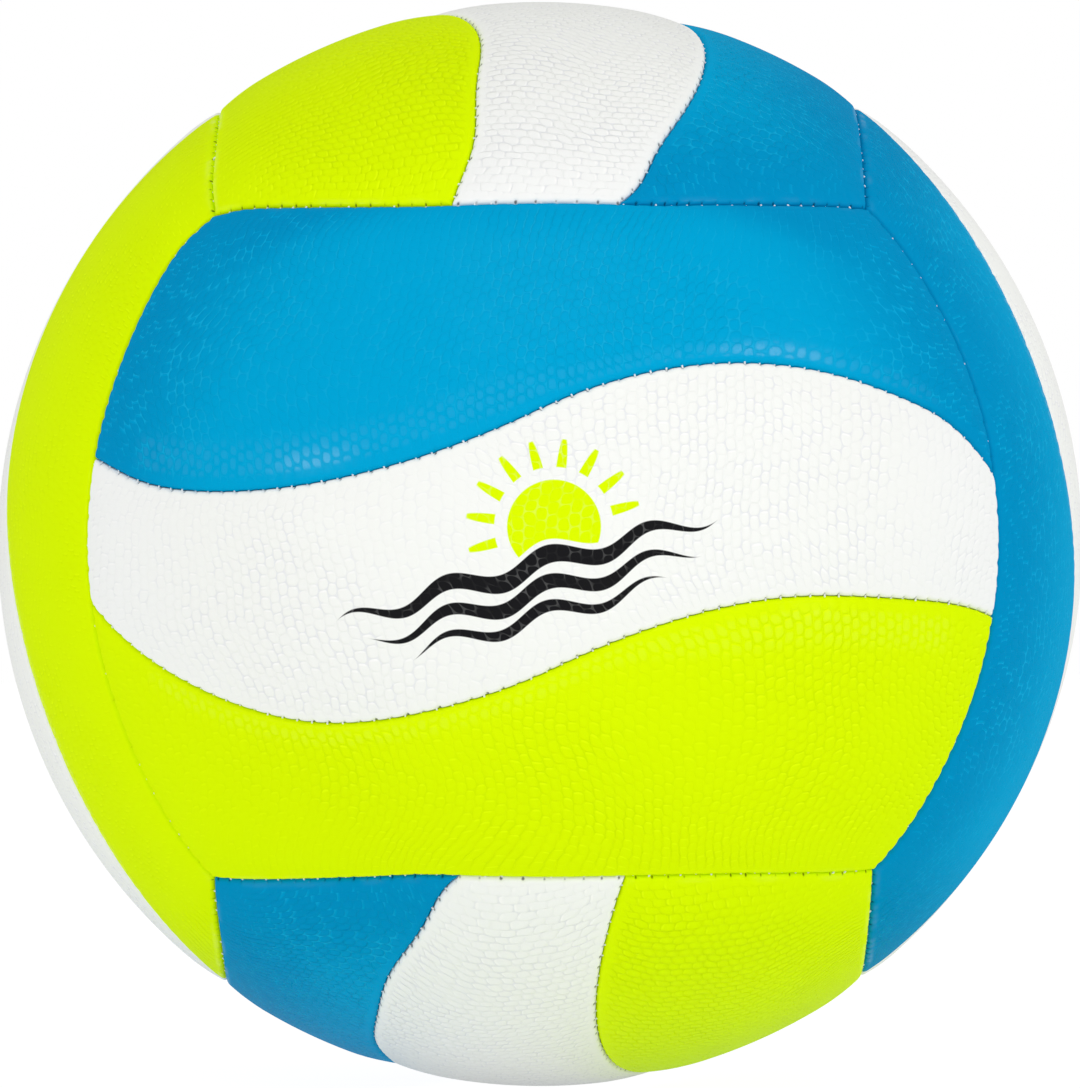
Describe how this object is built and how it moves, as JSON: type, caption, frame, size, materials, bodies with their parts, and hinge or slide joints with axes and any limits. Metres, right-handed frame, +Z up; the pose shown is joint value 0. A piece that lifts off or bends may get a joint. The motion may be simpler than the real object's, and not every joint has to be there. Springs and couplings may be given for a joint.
{
  "type": "beach volleyball",
  "caption": "Stitched beach volleyball of S-shaped blue, white and lime panels, with foam backing, lining cloth, bladder and needle valve.",
  "frame": {"origin": "centre of the ball", "axes": "+Z up and -Y towards the viewer as pictured, +Y out through the valve, +X to the viewer's right"},
  "size_m": [0.2132, 0.2131, 0.2132],
  "materials": {
    "cover_blue": "satin embossed grain",
    "cover_white": "satin embossed grain",
    "cover_green": "satin embossed grain",
    "foam_backing": "matte",
    "lining_cloth": "plain weave",
    "sewing_thread": "twisted",
    "bladder_rubber": "matte",
    "valve_rubber": "satin"
  },
  "bodies": {
    "root": {"skin_front_blue": "cover_blue", "skin_front_white": "cover_white", "skin_front_green": "cover_green", "skin_back_blue": "cover_blue", "skin_back_white": "cover_white", "skin_back_green": "cover_green", "skin_left_blue": "cover_blue", "skin_left_white": "cover_white", "skin_left_green": "cover_green", "skin_right_blue": "cover_blue", "skin_right_white": "cover_white", "skin_right_green": "cover_green", "skin_top_blue": "cover_blue", "skin_top_white": "cover_white", "skin_top_green": "cover_green", "skin_bottom_blue": "cover_blue", "skin_bottom_white": "cover_white", "skin_bottom_green": "cover_green", "foam_front_blue": "foam_backing", "foam_front_white": "foam_backing", "foam_front_green": "foam_backing", "foam_back_blue": "foam_backing", "foam_back_white": "foam_backing", "foam_back_green": "foam_backing", "foam_left_blue": "foam_backing", "foam_left_white": "foam_backing", "foam_left_green": "foam_backing", "foam_right_blue": "foam_backing", "foam_right_white": "foam_backing", "foam_right_green": "foam_backing", "foam_top_blue": "foam_backing", "foam_top_white": "foam_backing", "foam_top_green": "foam_backing", "foam_bottom_blue": "foam_backing", "foam_bottom_white": "foam_backing", "foam_bottom_green": "foam_backing", "lining_front_blue": "lining_cloth", "lining_front_white": "lining_cloth", "lining_front_green": "lining_cloth", "lining_back_blue": "lining_cloth", "lining_back_white": "lining_cloth", "lining_back_green": "lining_cloth", "lining_left_blue": "lining_cloth", "lining_left_white": "lining_cloth", "lining_left_green": "lining_cloth", "lining_right_blue": "lining_cloth", "lining_right_white": "lining_cloth", "lining_right_green": "lining_cloth", "lining_top_blue": "lining_cloth", "lining_top_white": "lining_cloth", "lining_top_green": "lining_cloth", "lining_bottom_blue": "lining_cloth", "lining_bottom_white": "lining_cloth", "lining_bottom_green": "lining_cloth", "face_seam_thread": "sewing_thread", "s_seam_thread": "sewing_thread", "bladder": "bladder_rubber", "valve_boot": "valve_rubber", "valve_plug": "valve_rubber", "valve_patch": "lining_cloth"}
  },
  "joints": []
}
